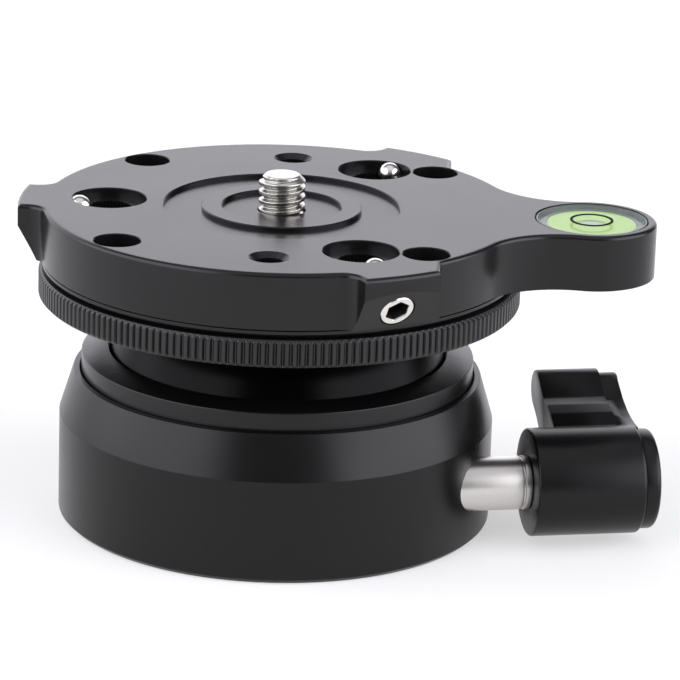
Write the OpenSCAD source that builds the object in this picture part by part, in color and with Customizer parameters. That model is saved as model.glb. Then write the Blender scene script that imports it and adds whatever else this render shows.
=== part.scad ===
// Leveling base for a tripod: a lockable ball tilts and pans a camera plate.
// Sizes in mm. +Z is up, the tripod thread is at the origin, the level arm points along +X.

/* [Base] */
// Width of the taper at the top of the base
base_taper = 1.9; // [1:0.1:3]
// Height of the straight side of the base
side_h = 14.3; // [11:0.1:16]
// Height of the base rim
rim_z = 20.46; // [19.4:0.05:20.9]
// Wall of the base rim outside the collar
rim_wall = 1.02; // [0.8:0.02:1.6]
// Chamfer at the foot of the base
foot_chamfer = 0.6; // [0.2:0.1:1.2]
// Thickness of the base floor
floor_t = 2.8; // [2:0.1:2.9]
// Diameter of the centre boss
boss_d = 18; // [17:0.5:20]
// Major diameter of the tripod thread
tripod_d = 9.525; // [6.35:0.005:9.6]
// Height of the tripod bush under its flange
bush_h = 8; // [7:0.1:8.4]
// Outside diameter of the tripod bush
bush_d = 13; // [12.4:0.1:14]
// Diameter of the bush flange
bush_flange_d = 16.6; // [15:0.1:17]
// Thickness of the bush flange
bush_flange_t = 1.4; // [1:0.1:1.8]

/* [Ball] */
// Ball radius
ball_r = 24; // [23.6:0.05:24.1]
// Height of the ball centre
ball_z = 16.4; // [16.2:0.05:16.8]
// Height of the flat under the ball
ball_cut_z = 9; // [8.8:0.1:11]
// Radius of the hollow in the ball
hollow_r = 14; // [13.4:0.1:15]
// Height where the ball becomes the neck under the lock ring
neck_z = 30.53; // [30:0.01:31]

/* [Collar and brake] */
// Wall of the retaining collar outside the ball
collar_wall = 3.03; // [2.8:0.01:3.4]
// Height of the collar edge
collar_edge_z = 23.06; // [22.8:0.02:23.4]
// Height of the collar top at the ball
collar_top_z = 23.6; // [23.5:0.02:24]
// Height of the ledge that the collar sits on
ledge_z = 17.5; // [17.2:0.1:18]
// Wall of the friction liner outside the ball
liner_wall = 1.55; // [1.2:0.05:1.7]
// Thickness of the collar lip over the liner
lip_t = 0.7; // [0.5:0.05:1]
// Height of the seat under the brake ring
seat_z = 4.4; // [4.2:0.1:5.2]
// Wall of the brake ring outside the ball
brake_wall = 2.3; // [2:0.05:2.6]
// Width of the split in the brake ring
split_w = 2.4; // [1:0.1:4]
// Diameter of the pin that holds the brake ring
pin_d = 2; // [1.5:0.1:2.4]
// Height of the foot of the pin
pin_z = 1.5; // [1:0.1:1.8]
// Length of the pin
pin_l = 6.9; // [5:0.1:7.5]

/* [Lock knob] */
// Height of the lock screw
lock_z = 8.5; // [8.3:0.05:8.9]
// Sideways offset of the lock screw from the ball axis
lock_off = 16.5; // [16:0.1:17]
// Direction of the lock screw, degrees from the arm
lock_az = 13.3; // [5:0.1:20]
// Diameter of the lock shaft
shaft_d = 7.4; // [6.8:0.05:7.6]
// Free length of the shaft between base and knob
knob_gap = 7.2; // [6:0.1:10]
// Depth of the pocket for the thrust pad
pad_pocket = 0.58; // [0.5:0.01:0.8]
// Thickness of the thrust pad
pad_t = 1.1; // [0.8:0.1:1.5]
// Diameter of the knob hub
hub_d = 14.84; // [14.2:0.02:15.2]
// Length of the knob hub
hub_l = 15.15; // [14.4:0.05:17]
// Thickness of the knob end cap
cap_t = 2.1; // [1.2:0.1:3]
// Start of the wing along the hub
wing_start = 4.1; // [2.5:0.1:6]
// Length of the wing along the hub
wing_l = 8.8; // [6:0.1:9.4]
// Sideways place of the wing tip
wing_x = 14.5; // [12.5:0.1:15]
// Height of the wing tip over the screw
wing_y = 8.3; // [8:0.1:10]
// Radius of the wing tip
wing_r = 2.85; // [2.5:0.05:3.2]

/* [Plate] */
// Diameter of the camera plate
plate_d = 65.3; // [64.6:0.1:66.5]
// Height of the plate top face
plate_z = 43.82; // [43.6:0.02:44.6]
// Depth of the plate side
plate_side = 7.74; // [7.6:0.02:7.9]
// Chamfer under the plate
plate_chamfer = 1.06; // [0.9:0.02:1.2]
// Distance of the level from the ball axis
level_x = 42.3; // [41:0.1:44]
// Radius of the arm end
arm_r = 8.9; // [8.5:0.05:9.5]
// Radius of the fillets along the arm
arm_fillet = 11.5; // [9:0.1:14]
// How far the three lugs stand out of the plate
lug_out = 3.29; // [2.8:0.01:3.8]
// Width of a lug
lug_w = 11; // [9:0.1:12]
// Radius of the fillets beside a lug
lug_fillet = 2.5; // [1.5:0.1:3.2]
// Height of the upright part of a lug
lug_h = 2.2; // [2:0.1:3]
// Slope of the clamp screws
clamp_tilt = 29.5; // [27:0.5:30.5]
// Distance of the pockets from the plate edge
pocket_in = 9.05; // [8.6:0.05:9.5]
// Diameter of a pocket
pocket_d = 10.2; // [9.4:0.1:10.8]
// Distance of the clamp screw tips from the pocket centres
clamp_gap = 2.5; // [2:0.1:3.5]
// Depth of a pocket
pocket_h = 1.3; // [1:0.1:1.8]
// Depth of the rings in the plate face
face_step = 0.6; // [0.4:0.05:1]
// Outside diameter of the sunk ring
ring_out_d = 32.3; // [30:0.1:34]
// Outside diameter of the raised ring
ring_mid_d = 21.9; // [20:0.1:24]
// Inside diameter of the raised ring
ring_in_d = 16.3; // [14:0.1:18]
// Diameter of the four plain holes
hole_d = 6.3; // [5:0.05:6.5]
// Distance of the plain holes from the plate edge
hole_in = 3.79; // [3.6:0.01:4.5]
// Depth of the plain holes
hole_h = 5.6; // [4:0.1:6]
// Diameter of the two countersunk holes
csk_hole_d = 3.3; // [2.5:0.05:4]
// Diameter of their countersinks
csk_d = 5.2; // [4.6:0.05:6]
// Distance of the countersunk holes from the plate edge
csk_in = 7.65; // [7:0.05:9]
// Diameter of the camera stud
stud_d = 6.35; // [6:0.01:6.4]
// Height of the stud over the plate face
stud_h = 4.7; // [4:0.1:6]
// Width of the shoulder under the stud
stud_shoulder = 0.45; // [0.4:0.05:1]

/* [Pan and level] */
// Diameter of the knurled lock ring
lock_ring_d = 66.1; // [65:0.1:66.6]
// Number of knurl teeth
knurl_n = 200; // [120:1:240]
// Depth of the knurl
knurl_h = 0.42; // [0.2:0.02:0.6]
// Height of the underside of the lock ring
lock_ring_z = 31.14; // [30.8:0.02:31.4]
// Width of the pan bearing round the spindle
pan_bearing = 2.8; // [2.4:0.1:4]
// Room between the pan cap and the plate screws
cap_in = 5.7; // [5.4:0.1:6.5]
// Diameter of the level vial
level_d = 15.4; // [14.6:0.02:15.6]
// Diameter of the clear lens of the level
lens_d = 14.6; // [13.4:0.1:14.8]
// Diameter of the fluid chamber in the level
window_d = 12.2; // [10:0.1:12.8]
// Diameter of the centring circle
mark_d = 5.9; // [5:0.1:7]
// Diameter of the bubble
bubble_d = 3.1; // [2:0.1:4]
// Depth of the bubble
bubble_t = 0.9; // [0.5:0.1:1.5]
// Depth of the level well
well_h = 6.6; // [6:0.1:7]
// Floor of the level vial
level_floor = 1.2; // [0.8:0.1:1.6]
// Thickness of the level lens
lens_t = 0.5; // [0.4:0.05:0.8]
// Thread diameter of the screw in the pan cap
cap_screw_d = 6; // [5:0.1:6.4]
// Head diameter of the screw in the pan cap
cap_head_d = 10; // [9:0.1:11]
// Head thickness of the screw in the pan cap
cap_head_t = 0.9; // [0.6:0.1:1]

/* [Fits] */
// Radial clearance of running fits
run = 0.05; // [0.02:0.01:0.08]
// Radial clearance of pressed and screwed pieces
seat = 0.02; // [0.01:0.01:0.05]
// Gap where two turning faces meet
slip = 0.02; // [0.01:0.01:0.04]
// Free space round the ball and pan cap
open = 0.3; // [0.2:0.02:0.4]

/* [Hidden] */
$fn = 96;
// chord: half the width of a circle of radius r at distance d from its centre
function chord(r, d) = sqrt(r * r - d * d);
collar_r = ball_r + collar_wall;
collar_bore = collar_r + run;
rim_r = collar_bore + rim_wall;
base_r = rim_r + base_taper;
brake_r = ball_r + brake_wall;
brake_bore = brake_r + run;
liner_r = ball_r + liner_wall;
socket_r = ball_r + run;
seat_bore = chord(socket_r, ball_z - seat_z) + 0.1;
neck_r = chord(ball_r, neck_z - ball_z);
bush_r = bush_d / 2;
pin_r = pin_d / 2;
shaft_r = shaft_d / 2;
hub_r = hub_d / 2;
knob_u = chord(base_r, lock_off) + knob_gap;
pocket_floor_u = chord(brake_r, lock_off) - pad_pocket;
lock_pitch = 1;
pad_travel = lock_pitch * 150 / 360;
pad_u = pocket_floor_u + pad_travel + 0.03;
shaft_u = pad_u + pad_t + slip;
spigot_r = 3.3;
spigot_l = 10.6;
screw_head_r = 4.5;
screw_head_h = 2.2;
cap_plug_r = 4.9;
plate_r = plate_d / 2;
pocket_x = plate_r - pocket_in;
hole_x = plate_r - hole_in;
csk_x = plate_r - csk_in;
pan_cap_r = pocket_x - cap_in;
spindle_r = pan_cap_r - pan_bearing;
side_z = plate_z - plate_side;
under_z = side_z - plate_chamfer;
ring_r = lock_ring_d / 2;
ring_top = under_z - 0.16;
ring_h = ring_top - lock_ring_z;
retainer_z = under_z + 0.1;
retainer_t = 2.2;
retainer_r = pocket_x + 3.7;
washer_t = 0.4;
low_washer_z = retainer_z + retainer_t + slip;
cap_z = low_washer_z + washer_t + slip;
pan_cap_t = 1.4;
cap_head_z = cap_z + pan_cap_t - cap_head_t - 0.1;
cap_screw_z = ball_z + hollow_r + 0.2;
up_washer_z = cap_z + pan_cap_t + slip;
recess_z = up_washer_z + washer_t + slip;
stud_head_r = 5.5;
stud_head_t = 1.9;
stud_neck_r = stud_d / 2 + stud_shoulder;
plate_screw_r = 1.5;
plate_head_r = 2.75;
plate_head_h = 2;
plate_head_z = low_washer_z + 1;
lug_angles = [180, 60, -60];
lug_r = plate_r + lug_out;
clamp_r = 2.45;
clamp_thread = 3.3;
dog_r = 1.65;
dog_tip_r = 1;
clamp_z = plate_z - 5.2;
clamp_x = lug_r - (plate_z - lug_h - clamp_z) * tan(clamp_tilt);
lug_cut = (plate_z - lug_h - clamp_z) / cos(clamp_tilt) + 0.1;
clamp_l = (clamp_x - pocket_x - clamp_gap) / cos(clamp_tilt);
clamp_travel = 2;
level_r = level_d / 2;
window_r = window_d / 2;
lens_r = lens_d / 2;
lens_z = well_h - lens_t - 0.1;
mark_t = 0.12;
mark_w = 0.35;
mark_z = lens_z + lens_t - mark_t;

// A hollow disc from height z
module disc(outer, inner, z, h) {
    translate([0, 0, z])
        difference() {
            cylinder(r = outer, h = h);
            translate([0, 0, -1]) cylinder(r = inner, h = h + 2);
        }
}

// Places children on the lock screw: z runs outward, y is up
module on_lock() {
    translate([0, 0, lock_z])
        rotate([0, 0, lock_az])
            translate([0, -lock_off, 0])
                rotate([90, 0, 90])
                    children();
}

// Places children on a clamp screw: z runs inward and up from the lug face
module on_clamp(angle) {
    rotate([0, 0, angle])
        translate([clamp_x, 0, clamp_z])
            rotate([0, -90 + clamp_tilt, 0])
                children();
}

module socket(r) {
    translate([0, 0, ball_z]) sphere(r = r);
}

module pin_place() {
    rotate([0, 0, -75]) translate([ball_r, 0, pin_z]) children();
}

module base_shell() {
    color("#3c3c40")
    difference() {
        rotate_extrude()
            polygon([
                [bush_r + seat, 0],
                [base_r - foot_chamfer, 0],
                [base_r, foot_chamfer],
                [base_r, side_h],
                [rim_r, rim_z],
                [collar_bore + 0.3, rim_z],
                [collar_bore, rim_z - 0.4],
                [collar_bore, ledge_z],
                [brake_bore, ledge_z],
                [brake_bore, seat_z],
                [seat_bore, seat_z],
                [seat_bore, floor_t],
                [boss_d / 2, floor_t],
                [boss_d / 2, bush_h],
                [bush_r + seat, bush_h]
            ]);
        on_lock() translate([0, 0, pocket_floor_u - pad_t]) cylinder(r = shaft_r + run, h = knob_u);
        pin_place() cylinder(r = pin_r + seat, h = pin_l);
    }
}

module tripod_bush() {
    color("#b8b8b8")
    difference() {
        union() {
            cylinder(r = bush_r, h = bush_h + 0.2);
            translate([0, 0, bush_h + slip]) cylinder(d = bush_flange_d, h = bush_flange_t);
        }
        translate([0, 0, -1]) cylinder(d = tripod_d, h = 3 * bush_h);
    }
}

module brake_ring() {
    color("#c9a64c")
    difference() {
        translate([0, 0, seat_z + slip]) cylinder(r = brake_r, h = ledge_z - seat_z - 0.1);
        socket(socket_r);
        on_lock() translate([0, 0, pocket_floor_u]) cylinder(r = shaft_r + 0.1, h = knob_u);
        rotate([0, 0, -53]) translate([ball_r / 2, -split_w / 2, 0]) cube([ball_r, split_w, ball_r]);
        pin_place() cylinder(r = pin_r + seat, h = pin_l + 0.1);
    }
}

module brake_ring_pin() {
    color("#b8b8b8")
    pin_place() translate([0, 0, slip]) cylinder(r = pin_r, h = pin_l);
}

module retaining_collar() {
    color("#505055")
    difference() {
        rotate_extrude()
            polygon([
                [liner_r + run, ledge_z + slip],
                [collar_r, ledge_z + slip],
                [collar_r, collar_edge_z - 0.15],
                [collar_r - 0.15, collar_edge_z],
                [ball_r - 2, collar_top_z + 0.2],
                [ball_r - 2, collar_edge_z - lip_t],
                [liner_r + run, collar_edge_z - lip_t]
            ]);
        socket(ball_r + open);
    }
}

module friction_liner() {
    color("#e6e3da")
    difference() {
        translate([0, 0, ledge_z + 0.1]) cylinder(r = liner_r, h = collar_edge_z - ledge_z - lip_t - 0.15);
        socket(socket_r);
    }
}

module ball() {
    color("#161618")
    difference() {
        union() {
            intersection() {
                socket(ball_r);
                translate([0, 0, ball_cut_z]) cylinder(r = 2 * ball_r, h = lock_ring_z - ball_cut_z);
            }
            translate([0, 0, ball_z]) cylinder(r = neck_r, h = ring_top + 0.04 - ball_z);
            translate([0, 0, ball_z]) cylinder(r = spindle_r, h = cap_z - slip - ball_z);
        }
        socket(hollow_r);
        translate([0, 0, ball_z]) cylinder(d = cap_screw_d + 2 * seat, h = plate_z);
    }
}

// Straight knurl: one pair of points for each tooth
module knurl_outline() {
    step = 360 / knurl_n;
    polygon([
        for (i = [0 : knurl_n - 1])
            for (k = [0 : 1])
                let (a = (i + k * 0.5) * step, r = ring_r - k * knurl_h)
                    [r * cos(a), r * sin(a)]
    ]);
}

module pan_lock_ring() {
    edge = 0.35;
    rim = ring_r - knurl_h - 0.06;
    color("#2c2c2e")
    difference() {
        union() {
            translate([0, 0, lock_ring_z + edge])
                linear_extrude(height = ring_h - 2 * edge) knurl_outline();
            rotate_extrude()
                polygon([
                    [neck_r - 1, lock_ring_z],
                    [rim - edge, lock_ring_z],
                    [rim, lock_ring_z + edge],
                    [rim, ring_top - edge],
                    [rim - edge, ring_top],
                    [neck_r - 1, ring_top]
                ]);
        }
        translate([0, 0, lock_ring_z - 1]) cylinder(r = neck_r + run, h = ring_h + 2);
    }
}

module pan_cap() {
    color("#9a9aa0")
    difference() {
        disc(pan_cap_r, cap_screw_d / 2 + 0.1, cap_z, pan_cap_t);
        translate([0, 0, cap_head_z]) cylinder(d = cap_head_d + 0.4, h = pan_cap_t);
    }
}

module pan_cap_screw() {
    color("#2a2a2c")
    difference() {
        union() {
            translate([0, 0, cap_screw_z]) cylinder(d = cap_screw_d, h = cap_head_z + 0.2 - cap_screw_z);
            translate([0, 0, cap_head_z + slip]) cylinder(d = cap_head_d, h = cap_head_t);
        }
        translate([0, 0, cap_head_z - 1.6]) cylinder(d = cap_screw_d * 0.76, h = 5, $fn = 6);
    }
}

module lower_pan_washer() {
    color("#e6e3da") disc(pan_cap_r, spindle_r + 0.15, low_washer_z, washer_t);
}

module upper_pan_washer() {
    color("#e6e3da") disc(pan_cap_r, 7, up_washer_z, washer_t);
}

module pan_retainer() {
    color("#9a9aa0")
    difference() {
        disc(retainer_r, spindle_r + 0.15, retainer_z, retainer_t);
        for (a = lug_angles)
            rotate([0, 0, a]) translate([pocket_x, 0, 0]) cylinder(r = plate_screw_r + seat, h = 60);
    }
}

// Fillet between the plate edge and one side of a lug
module lug_corner() {
    y = lug_w / 2 + lug_fillet;
    reach = plate_r + lug_fillet;
    x = sqrt(reach * reach - y * y);
    difference() {
        polygon([[0, 0], [x, y], [x, 0]]);
        translate([x, y]) circle(r = lug_fillet);
    }
}

module lug_outline() {
    intersection() {
        translate([plate_r - 8, -lug_w / 2]) square([12, lug_w]);
        circle(r = lug_r);
    }
}

// Fills the corner between the arm and the lug beside it, so that its wall runs straight back
module lug_step() {
    edge = chord(lug_r, lug_w / 2);
    x = edge * cos(60) + lug_w / 2 * sin(60);
    y = edge * sin(60) - lug_w / 2 * cos(60);
    foot = chord(plate_r, x) - 1;
    polygon([[x, y], [x, foot], [x - 5, foot]]);
}

module plate_outline() {
    reach = plate_r + arm_fillet;
    near = arm_r + arm_fillet;
    x = (reach * reach - near * near + level_x * level_x) / (2 * level_x);
    y = sqrt(reach * reach - x * x);
    circle(r = plate_r);
    translate([level_x, 0]) circle(r = arm_r);
    difference() {
        polygon([[0, 0], [x, -y], [level_x, 0], [x, y]]);
        for (s = [-1, 1]) translate([x, s * y]) circle(r = arm_fillet);
    }
    for (a = lug_angles) rotate(a) lug_outline();
    rotate(180) lug_corner();
    rotate(180) mirror([0, 1]) lug_corner();
    rotate(60) lug_corner();
    rotate(-60) mirror([0, 1]) lug_corner();
    lug_step();
    mirror([0, 1]) lug_step();
}

module top_plate() {
    color("#55555a")
    difference() {
        union() {
            translate([0, 0, side_z]) linear_extrude(height = plate_side) plate_outline();
            translate([0, 0, under_z])
                cylinder(r1 = plate_r - plate_chamfer, r2 = plate_r, h = plate_chamfer);
        }
        // sunk rings in the face
        disc(ring_out_d / 2, ring_mid_d / 2, plate_z - face_step, 3);
        translate([0, 0, plate_z - face_step]) cylinder(d = ring_in_d, h = 3);
        // camera stud
        translate([0, 0, recess_z - 1]) cylinder(r = stud_neck_r + seat, h = 20);
        translate([0, 0, recess_z - 1]) cylinder(r = stud_head_r + seat, h = stud_head_t + 1 + slip);
        // pan bearing
        translate([0, 0, under_z - 1]) cylinder(r = retainer_r + 0.1, h = low_washer_z - under_z + 1);
        translate([0, 0, under_z - 1]) cylinder(r = pan_cap_r + open, h = recess_z - under_z + 1);
        // pockets, plate screws and clamp screws
        for (a = lug_angles) {
            rotate([0, 0, a]) translate([pocket_x, 0, 0]) {
                translate([0, 0, plate_z - pocket_h]) cylinder(d = pocket_d, h = 3);
                translate([0, 0, plate_head_z]) cylinder(r = plate_head_r + 0.25, h = 10);
                translate([0, 0, under_z]) cylinder(r = plate_screw_r + 0.1, h = 10);
            }
            on_clamp(a) translate([0, 0, -5]) cylinder(r = clamp_r + run, h = clamp_thread + clamp_travel + 5.1);
            on_clamp(a) cylinder(r = dog_r + run, h = clamp_l + clamp_travel + 0.2);
            on_clamp(a) translate([-20, -lug_w, -10]) cube([20 + lug_cut, 2 * lug_w, 10]);
        }
        // plain and countersunk holes
        for (a = [45, 135, 225, 315])
            rotate([0, 0, a]) translate([hole_x, 0, plate_z - hole_h]) cylinder(d = hole_d, h = 10);
        for (a = [90, 270])
            rotate([0, 0, a]) translate([csk_x, 0, 0]) {
                translate([0, 0, plate_z - 5]) cylinder(d = csk_hole_d, h = 10);
                translate([0, 0, plate_z - (csk_d - csk_hole_d) / 2])
                    cylinder(d1 = csk_hole_d, d2 = csk_d, h = (csk_d - csk_hole_d) / 2);
            }
        // level
        translate([level_x, 0, plate_z - well_h]) cylinder(r = level_r + seat, h = 20);
    }
}

module plate_screws() {
    color("#2a2a2c")
    for (a = lug_angles)
        rotate([0, 0, a]) translate([pocket_x, 0, 0])
            difference() {
                union() {
                    translate([0, 0, retainer_z + 0.1]) cylinder(r = plate_screw_r, h = plate_head_z - retainer_z);
                    translate([0, 0, plate_head_z + slip]) cylinder(r = plate_head_r, h = plate_head_h);
                }
                translate([0, 0, plate_head_z + 0.7]) cylinder(r = 1.5, h = 5, $fn = 6);
            }
}

module camera_stud() {
    top = plate_z + stud_h;
    color("#c4c4c6")
    union() {
        translate([0, 0, recess_z + slip]) cylinder(r = stud_head_r, h = stud_head_t);
        translate([0, 0, recess_z + 1]) cylinder(r = stud_neck_r, h = plate_z - face_step - recess_z - 1);
        translate([0, 0, recess_z + 1]) cylinder(d = stud_d, h = top - recess_z - 1.8);
        translate([0, 0, top - 0.8]) cylinder(d1 = stud_d, d2 = stud_d - 1.6, h = 0.8);
    }
}

module at_level() {
    translate([level_x, 0, plate_z - well_h]) children();
}

module level_housing() {
    color("#959da0")
    at_level() difference() {
        translate([0, 0, slip]) cylinder(r = level_r, h = well_h - 0.1);
        translate([0, 0, level_floor]) cylinder(r = window_r, h = well_h);
        translate([0, 0, lens_z - slip]) cylinder(r = lens_r, h = well_h);
    }
}

module bubble_shape(extra) {
    at_level() translate([0, 0, lens_z - bubble_t - 0.05 - extra])
        cylinder(d = bubble_d + 2 * extra, h = bubble_t + 2 * extra);
}

module level_fluid() {
    color("#cdecb3")
    difference() {
        at_level() translate([0, 0, level_floor + seat])
            cylinder(r = window_r - seat, h = lens_z - level_floor - 2 * seat);
        bubble_shape(seat);
    }
}

module level_bubble() {
    color("#eef8e6") bubble_shape(0);
}

module level_circle() {
    color("#111111")
    at_level() disc(mark_d / 2, mark_d / 2 - mark_w, mark_z, mark_t);
}

module level_lens() {
    color("#e4f2dc")
    difference() {
        at_level() translate([0, 0, lens_z]) cylinder(r = lens_r - seat, h = lens_t);
        at_level() disc(mark_d / 2 + seat, mark_d / 2 - mark_w - seat, mark_z - slip / 2, 1);
    }
}

module clamp_screw(angle) {
    on_clamp(angle)
        difference() {
            union() {
                cylinder(r = clamp_r, h = clamp_thread);
                cylinder(r = dog_r, h = clamp_l - dog_tip_r - 0.85);
                translate([0, 0, clamp_l - dog_tip_r - 0.85]) cylinder(r1 = dog_r, r2 = dog_tip_r, h = 0.85);
                translate([0, 0, clamp_l - dog_tip_r]) sphere(r = dog_tip_r);
            }
            translate([0, 0, -1]) cylinder(r = 1.44, h = 3.2, $fn = 6);
        }
}

module clamp_screw_left() {
    color("#d0d0d2") clamp_screw(lug_angles[0]);
}

module clamp_screw_rear() {
    color("#d0d0d2") clamp_screw(lug_angles[1]);
}

module clamp_screw_front() {
    color("#d0d0d2") clamp_screw(lug_angles[2]);
}

module thrust_pad() {
    color("#c9a64c")
    on_lock() translate([0, 0, pad_u]) cylinder(r = shaft_r - run, h = pad_t);
}

module lock_shaft() {
    color("#d4d2d3")
    on_lock()
        difference() {
            union() {
                translate([0, 0, shaft_u]) cylinder(r = shaft_r, h = knob_u - slip - shaft_u);
                translate([0, 0, shaft_u]) cylinder(r = spigot_r, h = knob_u + spigot_l - shaft_u);
            }
            translate([0, 0, knob_u + 2]) cylinder(r = 2 + seat, h = spigot_l);
        }
}

// Wing section seen along the lock screw: a tip circle joined to the hub by facets
module wing_outline() {
    translate([wing_x, wing_y]) circle(r = wing_r);
    polygon([
        [0, 0],
        [hub_r * 0.36, hub_r * 0.93],
        [4.9, hub_r + 0.65],
        [7.2, hub_r + 1.2],
        [9.6, hub_r + 1.3],
        [wing_x - wing_r * 0.454, wing_y + wing_r * 0.891],
        [wing_x, wing_y],
        [wing_x + wing_r * 0.423, wing_y - wing_r * 0.906],
        [wing_x - 1.2, wing_y - 3.65],
        [hub_r * 0.99, hub_r * 0.1]
    ]);
}

module knob_body() {
    bore_l = spigot_l + 0.1;
    color("#38383a")
    on_lock()
        difference() {
            union() {
                translate([0, 0, knob_u])
                    rotate_extrude()
                        polygon([
                            [0, 0],
                            [hub_r - 0.3, 0],
                            [hub_r, 0.3],
                            [hub_r, hub_l - 0.5],
                            [hub_r - 0.5, hub_l],
                            [0, hub_l]
                        ]);
                translate([0, 0, knob_u + wing_start]) linear_extrude(height = wing_l) wing_outline();
                translate([0, 0, knob_u + wing_start + wing_l - 0.1])
                    linear_extrude(height = hub_l - wing_start - wing_l) scale(0.96) wing_outline();
            }
            translate([0, 0, knob_u - 1]) cylinder(r = spigot_r + seat, h = bore_l + 1);
            translate([0, 0, knob_u + bore_l]) cylinder(r = cap_plug_r + seat, h = 20);
        }
}

module knob_screw() {
    head_u = knob_u + spigot_l + 0.1 + slip;
    color("#2a2a2c")
    on_lock()
        difference() {
            union() {
                translate([0, 0, knob_u + 3]) cylinder(r = 2, h = spigot_l - 2);
                translate([0, 0, head_u]) cylinder(r = screw_head_r, h = screw_head_h);
            }
            translate([0, 0, head_u + 0.7]) cylinder(r = 1.7, h = 5, $fn = 6);
        }
}

module knob_end_cap() {
    color("#38383a")
    on_lock() {
        translate([0, 0, knob_u + hub_l - 1]) cylinder(r = cap_plug_r, h = 1.5);
        translate([0, 0, knob_u + hub_l + slip])
            rotate_extrude()
                polygon([
                    [0, 0],
                    [hub_r - 0.55, 0],
                    [hub_r - 0.55, cap_t - 0.7],
                    [hub_r - 1.25, cap_t],
                    [0, cap_t]
                ]);
    }
}

base_shell();
tripod_bush();
brake_ring();
brake_ring_pin();
retaining_collar();
friction_liner();
ball();
pan_lock_ring();
pan_cap();
pan_cap_screw();
lower_pan_washer();
upper_pan_washer();
pan_retainer();
top_plate();
plate_screws();
camera_stud();
level_housing();
level_fluid();
level_bubble();
level_circle();
level_lens();
clamp_screw_left();
clamp_screw_rear();
clamp_screw_front();
thrust_pad();
lock_shaft();
knob_body();
knob_screw();
knob_end_cap();
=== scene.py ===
import math

import bmesh
import bpy
from mathutils import Matrix, Vector


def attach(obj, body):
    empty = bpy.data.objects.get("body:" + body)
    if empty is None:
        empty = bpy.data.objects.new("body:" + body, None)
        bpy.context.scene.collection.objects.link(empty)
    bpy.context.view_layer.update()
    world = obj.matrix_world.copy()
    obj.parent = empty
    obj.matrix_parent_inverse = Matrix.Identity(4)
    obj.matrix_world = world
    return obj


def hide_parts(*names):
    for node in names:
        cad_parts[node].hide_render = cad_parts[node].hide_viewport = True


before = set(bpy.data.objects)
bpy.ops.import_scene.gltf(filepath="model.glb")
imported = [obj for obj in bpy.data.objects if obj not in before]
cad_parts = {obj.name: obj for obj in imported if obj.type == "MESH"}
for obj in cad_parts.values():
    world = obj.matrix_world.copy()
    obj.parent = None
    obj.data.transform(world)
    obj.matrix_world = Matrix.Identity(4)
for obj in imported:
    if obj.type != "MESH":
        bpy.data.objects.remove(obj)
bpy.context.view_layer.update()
MM = 0.001


# Mesh tools: sizes in mm in the part's own frame

def shade(obj, angle=32.0):
    mesh = obj.data
    bm = bmesh.new()
    bm.from_mesh(mesh)
    bmesh.ops.remove_doubles(bm, verts=bm.verts, dist=2e-7)
    bmesh.ops.recalc_face_normals(bm, faces=bm.faces)
    bm.to_mesh(mesh)
    bm.free()
    mesh.shade_smooth()
    mesh.set_sharp_from_angle(angle=math.radians(angle))
    return obj


def add_mesh(name, verts, faces, place=None):
    place = place or Matrix.Identity(4)
    mesh = bpy.data.meshes.new(name)
    mesh.from_pydata([tuple((place @ Vector(v)) * MM) for v in verts], [], faces)
    mesh.update()
    obj = bpy.data.objects.new(name, mesh)
    bpy.context.scene.collection.objects.link(obj)
    return shade(obj)


def soften(points, radius, steps=4, closed=True):
    """Rounds the corners of a profile. A point may carry its own radius as a third value."""
    out = []
    count = len(points)
    for i, p in enumerate(points):
        here = Vector(p[:2])
        r = p[2] if len(p) > 2 else radius
        if r <= 0 or (not closed and i in (0, count - 1)):
            out.append(tuple(here))
            continue
        a = Vector(points[i - 1][:2]) - here
        b = Vector(points[(i + 1) % count][:2]) - here
        half = a.angle(b) / 2
        cut = min(r / math.tan(half), a.length * 0.48, b.length * 0.48)
        a.normalize()
        b.normalize()
        centre = here + (a + b).normalized() * (cut / math.cos(half))
        start = here + a * cut - centre
        end = here + b * cut - centre
        turn = start.angle_signed(end)
        for k in range(steps + 1):
            t = -turn * k / steps
            c, s = math.cos(t), math.sin(t)
            out.append((centre.x + c * start.x - s * start.y, centre.y + s * start.x + c * start.y))
    return out


def lathe(name, profile, n=160, place=None, closed=True):
    verts, rings, faces = [], [], []
    for r, z in profile:
        first = len(verts)
        if r < 1e-6:
            verts.append((0, 0, z))
            rings.append([first] * n)
        else:
            verts += [(r * math.cos(2 * math.pi * k / n), r * math.sin(2 * math.pi * k / n), z)
                      for k in range(n)]
            rings.append(list(range(first, first + n)))
    pairs = list(zip(rings, rings[1:]))
    if closed:
        pairs.append((rings[-1], rings[0]))
    for a, b in pairs:
        for k in range(n):
            j = (k + 1) % n
            face = []
            for v in (a[k], a[j], b[j], b[k]):
                if v not in face:
                    face.append(v)
            if len(face) > 2:
                faces.append(face)
    return add_mesh(name, verts, faces, place)


def stack(name, layers, place=None):
    """A closed solid from outlines of equal length: layers is a list of (outline, z)."""
    n = len(layers[0][0])
    verts = [(x, y, z) for outline, z in layers for x, y in outline]
    faces = [list(range(n))[::-1], list(range(n * (len(layers) - 1), n * len(layers)))]
    for level in range(len(layers) - 1):
        for k in range(n):
            j = (k + 1) % n
            faces.append((level * n + k, level * n + j, (level + 1) * n + j, (level + 1) * n + k))
    return add_mesh(name, verts, faces, place)


def drill(name, radius, z0, z1, flare=0.0, place=None, n=64, flare_z=None):
    """A cutter for a round hole, opened by a small flare where it leaves the face."""
    top = z1 if flare_z is None else flare_z
    profile = [(0, z0), (radius, z0)]
    if flare:
        profile += [(radius, top - flare), (radius + flare, top), (radius + flare, z1 + 0.01)]
    else:
        profile.append((radius, z1))
    profile.append((0, profile[-1][1]))
    return lathe(name, profile, n, place, closed=False)


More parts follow.
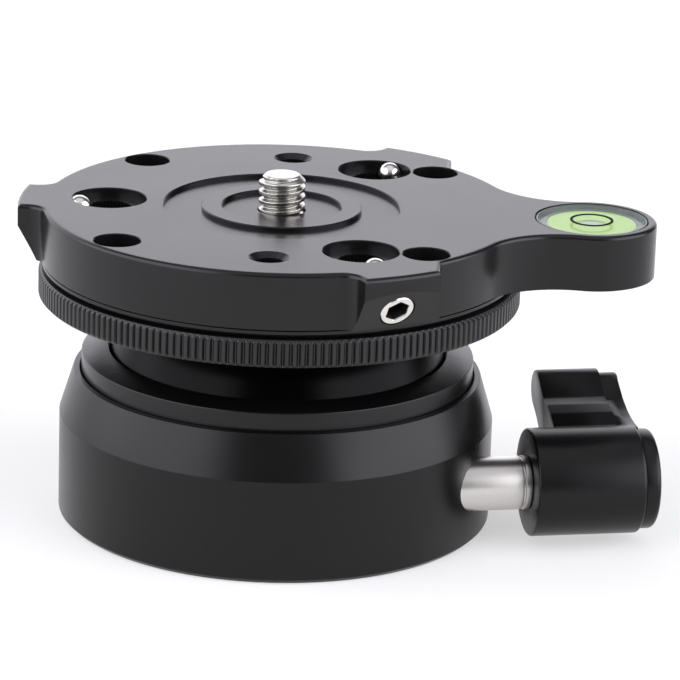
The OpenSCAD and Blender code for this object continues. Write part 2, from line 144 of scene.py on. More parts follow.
def box_cutter(name, low, high, place):
    (x0, y0, z0), (x1, y1, z1) = low, high
    outline = [(x0, y0), (x1, y0), (x1, y1), (x0, y1)]
    return stack(name, [(outline, z0), (outline, z1)], place)


def combine(obj, tools, operation="DIFFERENCE", angle=32.0):
    for tool in tools:
        mod = obj.modifiers.new("combine", "BOOLEAN")
        mod.operation = operation
        mod.solver = "EXACT"
        mod.object = tool
        graph = bpy.context.evaluated_depsgraph_get()
        mesh = bpy.data.meshes.new_from_object(obj.evaluated_get(graph))
        obj.modifiers.clear()
        old = obj.data
        obj.data = mesh
        bpy.data.meshes.remove(old)
        old = tool.data
        bpy.data.objects.remove(tool)
        bpy.data.meshes.remove(old)
    obj.data.name = obj.name
    return shade(obj, angle)


def joined(name, objs, angle=32.0):
    bm = bmesh.new()
    for o in objs:
        bm.from_mesh(o.data)
        old = o.data
        bpy.data.objects.remove(o)
        bpy.data.meshes.remove(old)
    mesh = bpy.data.meshes.new(name)
    bm.to_mesh(mesh)
    bm.free()
    obj = bpy.data.objects.new(name, mesh)
    bpy.context.scene.collection.objects.link(obj)
    return shade(obj, angle)


def move(x, y, z):
    return Matrix.Translation((x, y, z))


def turn(degrees, axis="Z"):
    return Matrix.Rotation(math.radians(degrees), 4, axis)


def arc(cx, cy, r, a0, a1, step=2.0):
    count = max(2, int(abs(a1 - a0) / step) + 1)
    return [(cx + r * math.cos(math.radians(a0 + (a1 - a0) * k / count)),
             cy + r * math.sin(math.radians(a0 + (a1 - a0) * k / count))) for k in range(count + 1)]


def inset(outline, distance):
    """Moves each point of a counter-clockwise outline inward by distance."""
    out = []
    n = len(outline)
    for i in range(n):
        p = Vector(outline[i])
        a = (p - Vector(outline[i - 1])).normalized()
        b = (Vector(outline[(i + 1) % n]) - p).normalized()
        na, nb = Vector((-a.y, a.x)), Vector((-b.y, b.x))
        m = na + nb
        m = m / max(m.dot(na), 0.3)
        out.append(tuple(p + m * distance))
    return out


def tidy_outline(points, gap=0.02):
    out = []
    for p in points:
        if not out or (Vector(p) - Vector(out[-1])).length > gap:
            out.append(p)
    if (Vector(out[0]) - Vector(out[-1])).length <= gap:
        out.pop()
    return out


# Finishes

def finish_of(name, colour, rough, metal=0.0, grain=0.0, size=0.4, mottle=0.06, rough_spread=0.04,
              stretch=(1.0, 1.0, 1.0), specular=0.5, glow=None):
    """A procedural finish: fine noise varies colour and roughness and raises a grain of size mm.

    Glow is painted light: an emission that brightens a part that is no lamp and softens the shadows that fall on it.
    """
    mat = bpy.data.materials.new(name)
    mat.use_nodes = True
    nodes, links = mat.node_tree.nodes, mat.node_tree.links
    bsdf = nodes["Principled BSDF"]
    bsdf.inputs["Base Color"].default_value = (*colour, 1.0)
    bsdf.inputs["Metallic"].default_value = metal
    bsdf.inputs["Roughness"].default_value = rough
    bsdf.inputs["Specular IOR Level"].default_value = specular
    coord = nodes.new("ShaderNodeTexCoord")
    scale = nodes.new("ShaderNodeMapping")
    scale.inputs["Scale"].default_value = stretch
    links.new(coord.outputs["Object"], scale.inputs["Vector"])
    fine = nodes.new("ShaderNodeTexNoise")
    fine.inputs["Scale"].default_value = 1000.0 / size
    fine.inputs["Detail"].default_value = 3.0
    links.new(scale.outputs["Vector"], fine.inputs["Vector"])
    broad = nodes.new("ShaderNodeTexNoise")
    broad.inputs["Scale"].default_value = 90.0
    broad.inputs["Detail"].default_value = 2.0
    links.new(coord.outputs["Object"], broad.inputs["Vector"])
    tint = nodes.new("ShaderNodeMix")
    tint.data_type = "RGBA"
    tint.inputs[6].default_value = (*[c * (1 - mottle) for c in colour], 1.0)
    tint.inputs[7].default_value = (*[min(1.0, c * (1 + mottle)) for c in colour], 1.0)
    links.new(fine.outputs["Fac"], tint.inputs[0])
    links.new(tint.outputs[2], bsdf.inputs["Base Color"])
    spread = nodes.new("ShaderNodeMapRange")
    spread.inputs["From Min"].default_value = 0.3
    spread.inputs["From Max"].default_value = 0.7
    spread.inputs["To Min"].default_value = max(0.02, rough - rough_spread)
    spread.inputs["To Max"].default_value = min(1.0, rough + rough_spread)
    links.new(broad.outputs["Fac"], spread.inputs["Value"])
    links.new(spread.outputs["Result"], bsdf.inputs["Roughness"])
    # Painted light: the emission makes the part glow though it is no lamp
    if glow:
        bsdf.inputs["Emission Color"].default_value = (*glow, 1.0)
        bsdf.inputs["Emission Strength"].default_value = 1.0
    if grain:
        bump = nodes.new("ShaderNodeBump")
        bump.inputs["Strength"].default_value = grain
        bump.inputs["Distance"].default_value = 0.00003
        links.new(fine.outputs["Fac"], bump.inputs["Height"])
        links.new(bump.outputs["Normal"], bsdf.inputs["Normal"])
    return mat


def clear_of(name, colour, haze):
    """Clear plastic: the piece behind shows through, and the face still reflects."""
    mat = bpy.data.materials.new(name)
    mat.use_nodes = True
    nodes, links = mat.node_tree.nodes, mat.node_tree.links
    bsdf = nodes["Principled BSDF"]
    bsdf.inputs["Base Color"].default_value = (*colour, 1.0)
    bsdf.inputs["Roughness"].default_value = 0.06
    bsdf.inputs["Alpha"].default_value = haze
    coord = nodes.new("ShaderNodeTexCoord")
    noise = nodes.new("ShaderNodeTexNoise")
    noise.inputs["Scale"].default_value = 300.0
    links.new(coord.outputs["Object"], noise.inputs["Vector"])
    spread = nodes.new("ShaderNodeMapRange")
    spread.inputs["To Min"].default_value = 0.04
    spread.inputs["To Max"].default_value = 0.09
    links.new(noise.outputs["Fac"], spread.inputs["Value"])
    links.new(spread.outputs["Result"], bsdf.inputs["Roughness"])
    return mat


FINISH = {
    "black_anodised": finish_of("black_anodised", (0.004, 0.004, 0.004), 0.29, grain=0.1, size=0.35, specular=0.26),
    "plate_grey": finish_of("plate_grey", (0.006, 0.006, 0.006), 0.24, grain=0.12, size=0.3, rough_spread=0.012,
                            specular=0.33),
    "collar_grey": finish_of("collar_grey", (0.004, 0.004, 0.004), 0.27, grain=0.08, size=0.3, specular=0.32),
    "polished_black": finish_of("polished_black", (0.0008, 0.0008, 0.0008), 0.24, mottle=0.02, rough_spread=0.02,
                                specular=0.06),
    "knurled_black": finish_of("knurled_black", (0.005, 0.005, 0.005), 0.38, grain=0.1, size=0.3, specular=0.5),
    "plain_aluminium": finish_of("plain_aluminium", (0.55, 0.55, 0.56), 0.35, metal=1.0, grain=0.05),
    "steel": finish_of("steel", (0.56, 0.547, 0.51), 0.24, metal=1.0, size=0.25, mottle=0.1),
    "bright_steel": finish_of("bright_steel", (0.8, 0.78, 0.735), 0.18, metal=1.0, size=0.25, mottle=0.05),
    "brushed_steel": finish_of("brushed_steel", (0.63, 0.612, 0.584), 0.3, metal=1.0, grain=0.25, size=0.4,
                               stretch=(6.0, 0.6, 0.6)),
    "black_steel": finish_of("black_steel", (0.012, 0.012, 0.012), 0.3, grain=0.05),
    "brass": finish_of("brass", (0.6, 0.42, 0.16), 0.32, metal=1.0, grain=0.05),
    "white_plastic": finish_of("white_plastic", (0.72, 0.7, 0.66), 0.45),
    "level_rim": finish_of("level_rim", (0.06, 0.08, 0.075), 0.2, mottle=0.03, specular=0.3),
    # The fluid's glow is painted light: it brightens the fluid and softens the shadow of the printed circle on it
    "level_fluid": finish_of("level_fluid", (0.03, 0.05, 0.012), 0.15, mottle=0.04,
                             glow=(0.28, 0.465, 0.1), specular=0.1),
    # The bubble's glow is painted light as well
    "level_air": finish_of("level_air", (0.12, 0.16, 0.1), 0.08, mottle=0.02,
                           glow=(0.14, 0.22, 0.12), specular=0.2),
    "level_lens": clear_of("level_lens", (0.9, 0.97, 0.9), 0.06),
    "black_mark": finish_of("black_mark", (0.003, 0.003, 0.003), 0.7, specular=0.1),
}


def part(obj, body, slot, *nodes, finish=None):
    obj.data.materials.clear()
    obj.data.materials.append(FINISH[finish or slot])
    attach(obj, body)
    if nodes:
        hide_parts(*nodes)
    return obj


# Main sizes, and the places of the lock screw, the pockets and the three clamp screws
BASE_R, BALL_R, BALL_Z = 30.0, 24, 16.4
LOCK_Z, LOCK_TURN, LOCK_OFF = 8.5, 13.3, 16.5
LOCK = move(0, 0, LOCK_Z) @ turn(LOCK_TURN) @ move(0, -LOCK_OFF, 0) @ Matrix(
    ((0, 0, 1, 0), (1, 0, 0, 0), (0, 1, 0, 0), (0, 0, 0, 1)))
LUGS = {"left": 180.0, "rear": 60.0, "front": -60.0}
PLATE_R, LUG_R, LUG_W, LUG_FILLET = 32.65, 35.94, 11.0, 2.5
POCKET_X = 23.6
CLAMP_TILT, CLAMP_Z = 29.5, 38.62
CLAMP_X = LUG_R - 3.0 * math.tan(math.radians(CLAMP_TILT))
CLAMP_L = (CLAMP_X - POCKET_X - 2.5) / math.cos(math.radians(CLAMP_TILT))
CLAMP_TIP_R, CLAMP_HEX_R, PLATE_HEX_R = 1.65, 1.66, 1.5


def clamp_place(angle):
    return turn(angle) @ move(CLAMP_X, 0, CLAMP_Z) @ turn(CLAMP_TILT - 90, "Y")


def pocket_place(angle):
    return turn(angle) @ move(POCKET_X, 0, 0)


def hexagon(r):
    return [(r * math.cos(math.radians(60 * k)), r * math.sin(math.radians(60 * k))) for k in range(6)]


# Base, collar and ball

base = lathe("base_turned", soften([
    (6.52, 0, 0), (29.4, 0), (BASE_R, 0.6), (BASE_R, 14.3, 0.5), (28.1, 20.46, 0.2), (27.3, 20.46, 0.1),
    (27.08, 20.1, 0), (27.08, 17.5, 0), (26.35, 17.5, 0), (26.35, 4.4, 0), (20.94, 4.4, 0),
    (20.94, 2.8, 0), (9, 2.8, 0), (9, 8, 0), (6.52, 8, 0)], 0.2), n=224)
combine(base, [drill("lock_hole", 3.75, 18.8, 50, place=LOCK, n=48)], angle=25)
part(base, "base", "black_anodised", "base_shell")

collar = lathe("collar_turned", soften([
    (25.6, 17.52, 0), (27.03, 17.52, 0), (27.03, 22.98, 0.18), (23.21, 23.616, 0.2), (23.56, 22.36, 0),
    (25.6, 22.36, 0)], 0.1), n=192)
part(collar, "base", "collar_grey", "retaining_collar")


def ball_arc(r, z0, z1, count):
    t0, t1 = math.asin((z0 - BALL_Z) / r), math.asin((z1 - BALL_Z) / r)
    return [(r * math.cos(t0 + (t1 - t0) * k / count), BALL_Z + r * math.sin(t0 + (t1 - t0) * k / count))
            for k in range(count + 1)]


ball = lathe("ball_turned", ball_arc(BALL_R, 9, 30.52, 40) + [(19.4, 30.56), (19.4, 34.9), (15.1, 34.9),
             (15.1, 37.72), (3.02, 37.72)] + ball_arc(14, 30.07, 9, 24), n=192)
part(ball, "ball", "polished_black", "ball")


# Knurled lock ring: straight teeth cut off by a turned chamfer at both ends

def knurled(name, r, depth, teeth, z0, z1, chamfer, bore, body, slot, node):
    shape = [(-0.22, 0.0), (0.22, 0.0), (0.33, 0.55), (0.43, 1.0), (0.57, 1.0), (0.67, 0.55)]
    outline = []
    for i in range(teeth):
        for phase, sink in shape:
            a = 2 * math.pi * (i + phase) / teeth
            outline.append((a, r - depth * sink))
    rows = []
    for k in range(5):
        rows.append((z0 + chamfer * k / 4, r - chamfer * (1 - k / 4)))
    for k in range(4, -1, -1):
        rows.append((z1 - chamfer * k / 4, r - chamfer * (1 - k / 4)))
    n = len(outline)
    verts, faces = [], []
    for z, limit in [(z0, bore)] + rows + [(z1, bore)]:
        verts += [(min(q, limit) * math.cos(a), min(q, limit) * math.sin(a), z) for a, q in outline]
    levels = len(rows) + 2
    for level in range(levels):
        up = (level + 1) % levels
        for k in range(n):
            j = (k + 1) % n
            faces.append((level * n + k, level * n + j, up * n + j, up * n + k))
    obj = add_mesh(name, verts, faces)
    return part(obj, body, slot, node)


knurled("lock_ring_knurled", 33.05, 0.36, 200, 31.14, 34.86, 0.42, 19.45, "pan_ring", "knurled_black",
        "pan_lock_ring")


# Camera plate

def head_outline(r, teeth, depth):
    """A ring of straight ribs: every second land is sunk by depth."""
    pts = []
    for i in range(teeth):
        for phase, sink in ((-0.2, 0), (0.2, 0), (0.4, 1), (0.6, 1)):
            a = 2 * math.pi * (i + phase) / teeth
            pts.append(((r - depth * sink) * math.cos(a), (r - depth * sink) * math.sin(a)))
    return pts


LEVEL_X, ARM_R, ARM_FILLET = 42.3, 8.9, 11.5


def plate_outline():
    """Counter-clockwise outline: arm, hollow fillet, plate edge and three lugs, then the mirror of the start."""
    reach, near = PLATE_R + ARM_FILLET, ARM_R + ARM_FILLET
    cx = (reach ** 2 - near ** 2 + LEVEL_X ** 2) / (2 * LEVEL_X)
    cy = math.sqrt(reach ** 2 - cx ** 2)
    on_arm = math.degrees(math.atan2(cy, cx - LEVEL_X))
    on_plate = math.degrees(math.atan2(cy, cx))
    tip = math.degrees(math.asin(LUG_W / 2 / LUG_R))
    corner = arc(0, 0, LUG_R, 60 - tip, 60 + tip)[0]
    foot = math.degrees(math.acos(corner[0] / PLATE_R))
    half = arc(LEVEL_X, 0, ARM_R, 0, on_arm)
    half += arc(cx, cy, ARM_FILLET, on_arm - 180, on_plate - 180)
    half += arc(0, 0, PLATE_R, on_plate, foot)
    half += arc(0, 0, LUG_R, 60 - tip, 60 + tip)
    y = LUG_W / 2 + LUG_FILLET
    x = math.sqrt((PLATE_R + LUG_FILLET) ** 2 - y ** 2)
    swing = math.degrees(math.atan2(y, x))
    hollow = arc(x, y, LUG_FILLET, -90, swing - 180, 8)
    c, s = math.cos(math.radians(60)), math.sin(math.radians(60))
    half += [(c * px - s * py, s * px + c * py) for px, py in hollow]
    half += arc(0, 0, PLATE_R, 60 + swing, 180 - swing)
    half += [(-px, py) for px, py in hollow[::-1]]
    half += arc(0, 0, LUG_R, 180 - tip, 180)
    return tidy_outline(half + [(px, -py) for px, py in half[-2:0:-1]])


TOP, SIDE, EDGE, SUNK = 43.82, 36.08, 0.6, 43.22
outline = plate_outline()
layers = [(inset(outline, 0.3), SIDE), (inset(outline, 0.3), SIDE + 0.05), (inset(outline, 0.05), SIDE + 0.1),
          (outline, SIDE + 0.16), (outline, TOP - EDGE)]
for k in range(1, 10):
    t = math.radians(10 * k)
    layers.append((inset(outline, EDGE * (1 - math.cos(t))), TOP - EDGE * (1 - math.sin(t))))
# One flat row inside the rounded edge keeps the shading of the face plain
layers.append((inset(outline, EDGE + 0.3), TOP))
plate = stack("plate_milled", layers)
under = lathe("plate_under", soften([(0, 35.02, 0), (32.0, 35.02), (32.58, 35.6, 0.06), (32.58, 36.03, 0.03),
                                     (32.3, 36.06, 0), (32.3, 36.6, 0), (0, 36.6, 0)], 0.1, closed=False),
              n=192, closed=False)
combine(plate, [under], "UNION")
tools = [
    lathe("sunk_ring", [(10.95, SUNK), (16.15, SUNK), (16.15, 43.68), (16.29, TOP), (16.29, 45),
                        (10.81, 45), (10.81, TOP), (10.95, 43.68)], n=128),
    lathe("sunk_centre", [(0, SUNK), (8.15, SUNK), (8.15, 43.68), (8.29, TOP), (8.29, 45), (0, 45)],
          n=128, closed=False),
    drill("stud_hole", 3.32, 38.6, 43.5, n=48),
    drill("stud_head_room", 5.52, 38.6, 41.54, n=48),
    lathe("pan_room", [(0, 34), (27.4, 34), (27.4, 37.34), (18.2, 37.34), (18.2, 39.6), (0, 39.6)],
          n=128, closed=False),
    drill("level_well", 7.72, 37.22, 50, flare=0.12, place=move(LEVEL_X, 0, 0), flare_z=TOP, n=96),
]
RIBS = head_outline(3.0, 34, -0.16)
for name, angle in LUGS.items():
    spot = pocket_place(angle)
    tools += [
        drill("pocket_" + name, 5.1, 42.52, 50, flare=0.12, place=spot, flare_z=TOP),
        stack("head_room_" + name, [(RIBS, 38.34), (RIBS, 43)], spot),
        drill("screw_room_" + name, 1.6, 34, 39, place=spot, n=32),
        box_cutter("lug_face_" + name, (-20, -11, -10), (3.55, 11, 0), clamp_place(angle)),
        drill("clamp_hole_" + name, 2.5, -5, 5.4, place=clamp_place(angle), n=48),
        drill("dog_hole_" + name, 1.75, 4, CLAMP_L + 2.2, place=clamp_place(angle) @ turn(2.7), n=44),
    ]
for angle in (45, 135, 225, 315):
    tools.append(drill("plain_hole", 3.15, 38.22, 50, flare=0.12, place=turn(angle) @ move(28.86, 0, 0),
                       flare_z=TOP))
for angle in (90, 270):
    tools.append(lathe("countersunk_hole", [
        (0, 38.82), (1.65, 38.82), (1.65, 41.6), (2.0, 41.6), (2.0, 43.1), (2.75, TOP), (2.75, 50), (0, 50)],
        48, turn(angle) @ move(25, 0, 0), closed=False))
combine(plate, tools, angle=20)
part(plate, "plate", "plate_grey", "top_plate")


# Screw threads: one radius for each angle and height, so the thread is a true helix

def threaded(name, major, depth, pitch, z0, z1, top_chamfer, root_z, place=None, n=72, rows_per_turn=14,
             low_chamfer=0.0):
    """A threaded rod from z0 to z1. Below root_z it is plain."""
    verts, faces = [], []
    count = max(8, int((z1 - z0) / pitch * rows_per_turn))
    for i in range(count + 1):
        z = z0 + (z1 - z0) * i / count
        limit = min(major, major - top_chamfer + (z1 - z), major - low_chamfer + (z - z0))
        for k in range(n):
            phase = (z / pitch - k / n) % 1.0
            ridge = min(1.0, max(0.0, 1.65 - abs(phase - 0.5) * 4.4))
            ridge = ridge * ridge * (3 - 2 * ridge)
            r = major - depth * (1 - ridge) if z > root_z else major
            r = min(r, limit)
            verts.append((r * math.cos(2 * math.pi * k / n), r * math.sin(2 * math.pi * k / n), z))
    for i in range(count):
        for k in range(n):
            j = (k + 1) % n
            faces.append((i * n + k, i * n + j, (i + 1) * n + j, (i + 1) * n + k))
    faces.append(list(range(n))[::-1])
    faces.append(list(range(count * n, count * n + n)))
    return add_mesh(name, verts, faces, place)


stud = threaded("stud_threaded", 3.175, 0.66, 1.27, 41.0, 48.25, 0.85, 41.2, n=128, rows_per_turn=32)
stud_foot = lathe("stud_foot", [(0, 39.62), (5.5, 39.62), (5.5, 41.52), (3.3, 41.52), (3.3, 42.3), (0, 42.3)],
                  n=64, closed=False)
part(joined("stud_turned", [stud, stud_foot], 44), "plate", "steel", "camera_stud")

for name, angle in LUGS.items():
    screw = threaded("clamp_" + name + "_threaded", 2.45, 0.3, 0.8, 0.0, 3.3, 0.3, 0.45, clamp_place(angle),
                     n=64, rows_per_turn=14, low_chamfer=0.2)
    tip = [(0, 3.0), (CLAMP_TIP_R, 3.0)]
    tip += [(CLAMP_TIP_R * math.cos(math.radians(t)), CLAMP_L - 1.85 + CLAMP_TIP_R * math.sin(math.radians(t)))
            for t in range(0, 90, 9)]
    tip.append((0, CLAMP_L - 0.2))
    point = lathe("clamp_" + name + "_tip", tip, 48, clamp_place(angle), closed=False)
    combine(screw, [point], "UNION")
    flats = hexagon(CLAMP_HEX_R)
    wide = [(x * 1.06, y * 1.06) for x, y in flats]
    socket = stack("clamp_" + name + "_socket", [(wide, -1), (wide, 0.0), (flats, 0.15), (flats, 2.2)],
                   clamp_place(angle))
    combine(screw, [socket], angle=40)
    screw.name = "clamp_" + name + "_turned"
    part(screw, "clamp_" + name, "steel", "clamp_screw_" + name, finish="bright_steel")
    screw.data.materials.append(FINISH["black_steel"])
    # The inside of the hex socket gets the black steel finish as painted shade, where the bright steel would light it
    # by its own reflections
    away = clamp_place(angle).inverted()
    for poly in screw.data.polygons:
        at = away @ (poly.center / MM)
        if math.hypot(at.x, at.y) < 1.68 and 0.14 < at.z < 2.3:
            poly.material_index = 1


# Socket screws in the pockets, with knurled heads

heads = []
for name, angle in LUGS.items():
    spot = pocket_place(angle)
    rim = head_outline(2.75, 28, 0.22)
    head = stack("plate_screw_" + name, [(rim, 38.36), (rim, 40.16), (head_outline(2.55, 28, 0.2), 40.36)], spot)
    shank = lathe("plate_shank_" + name, [(0, 35.22), (1.5, 35.22), (1.5, 38.5), (0, 38.5)], 32, spot,
                  closed=False)
    combine(head, [shank], "UNION")
    flats = hexagon(PLATE_HEX_R)
    combine(head, [stack("plate_socket_" + name, [(flats, 39.04), (flats, 42)], spot)], angle=40)
    heads.append(head)
part(joined("plate_screws_knurled", heads), "plate", "black_steel", "plate_screws")


# Lock shaft and knob

KNOB_U = math.sqrt(BASE_R ** 2 - LOCK_OFF ** 2) + 7.2
shaft = lathe("shaft_turned", soften([
    (0, 21.47, 0), (3.55, 21.47, 0), (3.7, 21.62, 0.05), (3.7, KNOB_U - 1.3), (3.5, KNOB_U - 1.2, 0.03),
    (3.5, KNOB_U - 0.95, 0.03), (3.7, KNOB_U - 0.85, 0.05), (3.7, KNOB_U - 0.1, 0.08), (3.3, KNOB_U - 0.03, 0.02),
    (3.3, KNOB_U + 10.6, 0), (2.02, KNOB_U + 10.6, 0), (2.02, KNOB_U + 2, 0), (0, KNOB_U + 2, 0)],
    0.1, closed=False), n=96, place=LOCK, closed=False)
part(shaft, "knob", "steel", "lock_shaft", finish="brushed_steel")

HUB, CAP_R = 7.42, 6.87
WING_X, WING_Y, WING_R = 14.5, 8.3, 2.85
UPPER = soften([
    (0.6, HUB * 0.99, 0), (HUB * 0.36, HUB * 0.93, 0.6), (4.9, HUB + 0.65, 2.0), (7.2, HUB + 1.2, 2.5),
    (9.6, HUB + 1.3, 1.6), (WING_X - WING_R * 0.454, WING_Y + WING_R * 0.891, 0)], 0.5, closed=False)
TIP = arc(WING_X, WING_Y, WING_R, 117, -65, 7)[1:]
LOWER = soften([
    (WING_X + WING_R * 0.423, WING_Y - WING_R * 0.906, 0), (13.3, 4.65, 1.2), (HUB * 0.99, HUB * 0.1, 0)],
    0.5, closed=False)[1:] + [(2.0, 2.0)]


def wing(blend=0.0, scale=1.0):
    """Counter-clockwise section of the wing. Blend turns the stepped finger groove into a plain hollow."""
    pts = []
    for x, y in UPPER:
        hollow = 7.55 + 0.028 * max(0.0, x - 2.8) ** 2
        pts.append((x, y + blend * (hollow - y)))
    pts += TIP + LOWER
    return [(x * scale, y * scale) for x, y in pts][::-1]


hub = lathe("knob_moulded", soften([
    (3.32, KNOB_U, 0.1), (HUB, KNOB_U, 0.35), (HUB, KNOB_U + 15.15, 0.55), (4.92, KNOB_U + 15.15, 0.1),
    (4.92, KNOB_U + 10.7, 0), (3.32, KNOB_U + 10.7, 0)], 0.2, steps=5), n=128, place=LOCK)
U0, U1 = KNOB_U + 4.1, KNOB_U + 12.9
blade = [(inset(wing(), 0.22), U0), (inset(wing(), 0.07), U0 + 0.07), (wing(), U0 + 0.22), (wing(), U1 - 0.2),
         (inset(wing(), 0.07), U1 - 0.05), (inset(wing(), 0.2), U1)]
# The finger groove runs out towards the end of the knob
runout = [(wing(0.0, 0.96), U1 - 1.0), (wing(0.0, 0.96), U1 - 0.2)]
for k in range(1, 9):
    t = k / 8
    runout.append((wing(t * t * (3 - 2 * t), 0.96), U1 - 0.2 + 1.6 * t))
runout += [(wing(1.0, 0.96), KNOB_U + 15.2), (inset(wing(1.0, 0.96), 0.08), KNOB_U + 15.4),
           (inset(wing(1.0, 0.96), 0.25), KNOB_U + 15.46)]
wing_tools = [stack("wing", blade, LOCK), stack("wing_end", runout, LOCK)]
combine(hub, wing_tools, "UNION")
combine(hub, [drill("knob_bore", 4.92, KNOB_U + 10.7, KNOB_U + 20, place=LOCK, n=64),
              drill("shaft_bore", 3.32, KNOB_U - 2, KNOB_U + 12, place=LOCK, n=64)], angle=30)
part(hub, "knob", "black_anodised", "knob_body")

cap = lathe("knob_cap_turned", soften([
    (0, KNOB_U + 14.15, 0), (4.9, KNOB_U + 14.15, 0.1), (4.9, KNOB_U + 15.17, 0), (CAP_R, KNOB_U + 15.17, 0.1),
    (CAP_R, KNOB_U + 17.27, 0.7), (0, KNOB_U + 17.27, 0)], 0.2, steps=6, closed=False),
    n=128, place=LOCK, closed=False)
part(cap, "knob", "black_anodised", "knob_end_cap")


# Bubble level

AT = move(LEVEL_X, 0, 37.22)
rim = lathe("level_cup", soften([
    (0, 0.02, 0), (7.58, 0.02, 0.2), (7.58, 6.52, 0.1), (7.3, 6.52, 0.08), (7.3, 5.98, 0), (6.1, 5.98, 0.15),
    (6.1, 1.2, 0.1), (0, 1.2, 0)], 0.2, closed=False), n=128, place=AT, closed=False)
part(rim, "plate", "level_rim", "level_housing")
lens = lathe("level_lens_turned", soften([
    (0, 6.0, 0), (7.28, 6.0, 0), (7.28, 6.5, 0.12), (6.9, 6.5, 0.1), (6.7, 6.36, 0.1), (0, 6.36, 0)],
    0.1, closed=False), n=128, place=AT, closed=False)
part(lens, "plate", "level_lens", "level_lens")
fluid = lathe("level_fluid_filled", [(0, 1.22), (6.06, 1.22), (6.06, 5.97), (1.62, 5.97), (1.5, 5.72), (0.9, 5.56),
                                     (0, 5.5)], n=96, place=AT, closed=False)
part(fluid, "plate", "level_fluid", "level_fluid")
bubble = lathe("level_bubble_round", [(0, 5.98), (1.6, 5.98), (1.48, 5.74), (0.88, 5.58), (0, 5.52)], n=64, place=AT,
               closed=False)
part(bubble, "plate", "level_air", "level_bubble")


# The other CAD pieces are hidden inside or plain, and keep their own meshes

SLOTS = {
    "tripod_bush": "steel", "brake_ring": "brass", "brake_ring_pin": "steel", "friction_liner": "white_plastic",
    "pan_cap": "plain_aluminium", "pan_cap_screw": "black_steel", "lower_pan_washer": "white_plastic",
    "upper_pan_washer": "white_plastic", "pan_retainer": "plain_aluminium",
    "level_circle": "black_mark", "thrust_pad": "brass", "knob_screw": "black_steel",
}
for name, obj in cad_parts.items():
    slot = SLOTS.get(name, "black_anodised")
    obj.data.materials.clear()
    obj.data.materials.append(FINISH[slot])


# Floor, light and camera: a pale floor, and soft lights behind, on each side and overhead

FLOOR_GREY, FLOOR_SPREAD, FLOOR_SEEN = 0.5, 0.005, 0.5

floor_mat = bpy.data.materials.new("floor")
floor_mat.use_nodes = True
fn, fl = floor_mat.node_tree.nodes, floor_mat.node_tree.links
floor_bsdf = fn["Principled BSDF"]
floor_bsdf.inputs["Base Color"].default_value = (FLOOR_GREY, FLOOR_GREY, FLOOR_GREY, 1.0)
floor_bsdf.inputs["Roughness"].default_value = 0.9
floor_bsdf.inputs["Specular IOR Level"].default_value = 0.1
floor_bsdf.inputs["Emission Color"].default_value = (1.0, 1.0, 1.0, 1.0)
floor_noise = fn.new("ShaderNodeTexNoise")
floor_noise.inputs["Scale"].default_value = 40.0
floor_tint = fn.new("ShaderNodeMix")
floor_tint.data_type = "RGBA"
floor_tint.inputs[6].default_value = (*[FLOOR_GREY - FLOOR_SPREAD] * 3, 1.0)
floor_tint.inputs[7].default_value = (*[FLOOR_GREY + FLOOR_SPREAD] * 3, 1.0)
fl.new(floor_noise.outputs["Fac"], floor_tint.inputs[0])
fl.new(floor_tint.outputs[2], floor_bsdf.inputs["Base Color"])
# Seen by the camera, in reflections and through glass the floor is lifted to white and keeps its shadow
floor_path = fn.new("ShaderNodeLightPath")
shown = floor_path.outputs["Is Camera Ray"]
for ray in ("Is Glossy Ray", "Is Transmission Ray"):
    either = fn.new("ShaderNodeMath")
    either.operation = "MAXIMUM"
    fl.new(shown, either.inputs[0])
    fl.new(floor_path.outputs[ray], either.inputs[1])
    shown = either.outputs["Value"]
lift = fn.new("ShaderNodeMath")
lift.operation = "MULTIPLY"
fl.new(shown, lift.inputs[0])
lift.inputs[1].default_value = FLOOR_SEEN
fl.new(lift.outputs["Value"], floor_bsdf.inputs["Emission Strength"])
FLOOR_HALF, FLOOR_Z = 3000, -0.02
floor = add_mesh("floor", [(x * FLOOR_HALF, y * FLOOR_HALF, FLOOR_Z) for x, y in ((-1, -1), (1, -1), (1, 1), (-1, 1))],
                 [(0, 1, 2, 3)])
floor.data.materials.append(floor_mat)

world = bpy.data.worlds.new("studio")
bpy.context.scene.world = world
world.use_nodes = True
wn, wl = world.node_tree.nodes, world.node_tree.links
wn.clear()
out = wn.new("ShaderNodeOutputWorld")
room = wn.new("ShaderNodeBackground")
wl.new(room.outputs["Background"], out.inputs["Surface"])
heading = wn.new("ShaderNodeTexCoord")
split = wn.new("ShaderNodeSeparateXYZ")
wl.new(heading.outputs["Generated"], split.inputs["Vector"])


def glow(direction, wide, narrow, strength):
    """A soft round light in the world: full inside the angle narrow, gone outside the angle wide."""
    node = wn.new("ShaderNodeVectorMath")
    node.operation = "DOT_PRODUCT"
    wl.new(heading.outputs["Generated"], node.inputs[0])
    node.inputs[1].default_value = direction.normalized()
    return fade(node.outputs["Value"], math.cos(math.radians(wide)), math.cos(math.radians(narrow)), 0.0, strength)


def fade(value, low, high, start, end):
    node = wn.new("ShaderNodeMapRange")
    node.interpolation_type = "SMOOTHSTEP"
    for name, v in (("From Min", low), ("From Max", high), ("To Min", start), ("To Max", end)):
        node.inputs[name].default_value = v
    wl.new(value, node.inputs["Value"])
    return node.outputs["Result"]


def calc(operation, a, b):
    node = wn.new("ShaderNodeMath")
    node.operation = operation
    wl.new(a, node.inputs[0])
    if isinstance(b, float):
        node.inputs[1].default_value = b
    else:
        wl.new(b, node.inputs[1])
    return node.outputs["Value"]


def facing(azimuth, elevation):
    a, e = math.radians(azimuth), math.radians(elevation)
    return Vector((math.cos(a) * math.cos(e), math.sin(a) * math.cos(e), math.sin(e)))


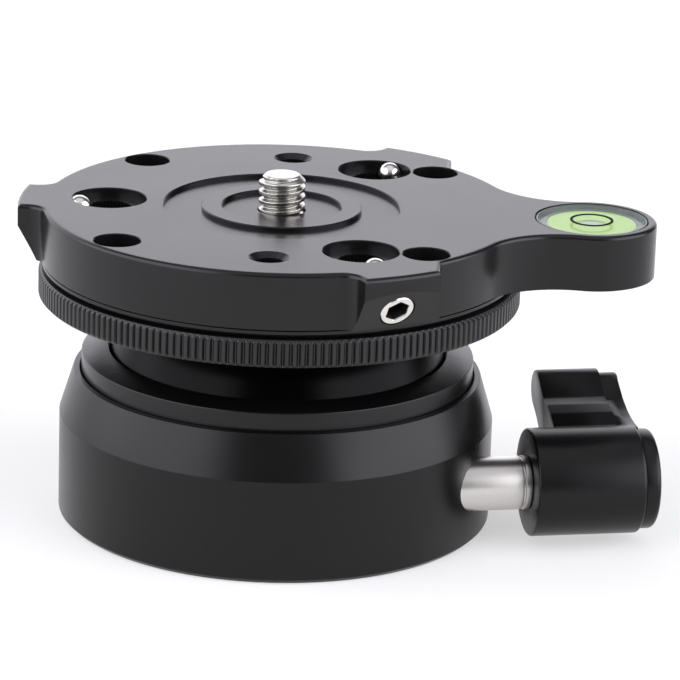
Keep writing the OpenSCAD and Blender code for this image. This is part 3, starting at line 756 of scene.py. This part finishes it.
# The light behind ends above, and the others are whole: azimuth, elevation, wide, narrow and strength
AMBIENT = 0.1
LAMPS = ((-18, 15, 44, 24, 3.6), (-158, 15, 50, 28, 3.0), (-90, 74, 52, 34, 0.4))
light = calc("MULTIPLY", glow(facing(112, 8), 58, 32, 1.55), fade(split.outputs["Z"], 0.52, 0.76, 1.0, 0.0))
for azimuth, elevation, wide, narrow, strength in LAMPS:
    light = calc("ADD", light, glow(facing(azimuth, elevation), wide, narrow, strength))
wl.new(calc("ADD", light, AMBIENT), room.inputs["Strength"])
room.inputs["Color"].default_value = (1.01, 1.0, 1.075, 1.0)


def softbox(name, place, aim, size, power):
    light = bpy.data.lights.new(name, "AREA")
    light.shape = "RECTANGLE"
    light.size, light.size_y = size
    light.energy = power
    obj = bpy.data.objects.new(name, light)
    obj.location = place
    obj.rotation_euler = (Vector(aim) - Vector(place)).to_track_quat("-Z", "Y").to_euler()
    bpy.context.scene.collection.objects.link(obj)


softbox("top_softbox", (0.0, -0.1, 0.8), (0, 0, 0.03), (0.7, 0.7), 0.5)

# The camera as fitted to the photograph: bearing, downward pitch and roll, and the point that it looks at
bearing, down, roll = math.radians(2.38), math.radians(17.72), math.radians(1.87)
LOOK_AT, CAMERA_DISTANCE = Vector((8.543, 0.355, 24.78)) * MM, 0.5468
right = Vector((math.cos(bearing), math.sin(bearing), 0))
ahead = Vector((-math.sin(bearing) * math.cos(down), math.cos(bearing) * math.cos(down), -math.sin(down)))
up = right.cross(ahead)
axis_x = right * math.cos(roll) + up * math.sin(roll)
axis_y = up * math.cos(roll) - right * math.sin(roll)
camera_data = bpy.data.cameras.new("camera")
camera_data.sensor_width = 36.0
camera_data.lens = 209.8
camera_data.clip_start = 0.01
camera = bpy.data.objects.new("camera", camera_data)
bpy.context.scene.collection.objects.link(camera)
place = LOOK_AT - ahead * CAMERA_DISTANCE
camera.matrix_world = Matrix((
    (axis_x.x, axis_y.x, -ahead.x, place.x),
    (axis_x.y, axis_y.y, -ahead.y, place.y),
    (axis_x.z, axis_y.z, -ahead.z, place.z),
    (0, 0, 0, 1)))
bpy.context.scene.camera = camera
bpy.context.scene.view_settings.view_transform = "Standard"
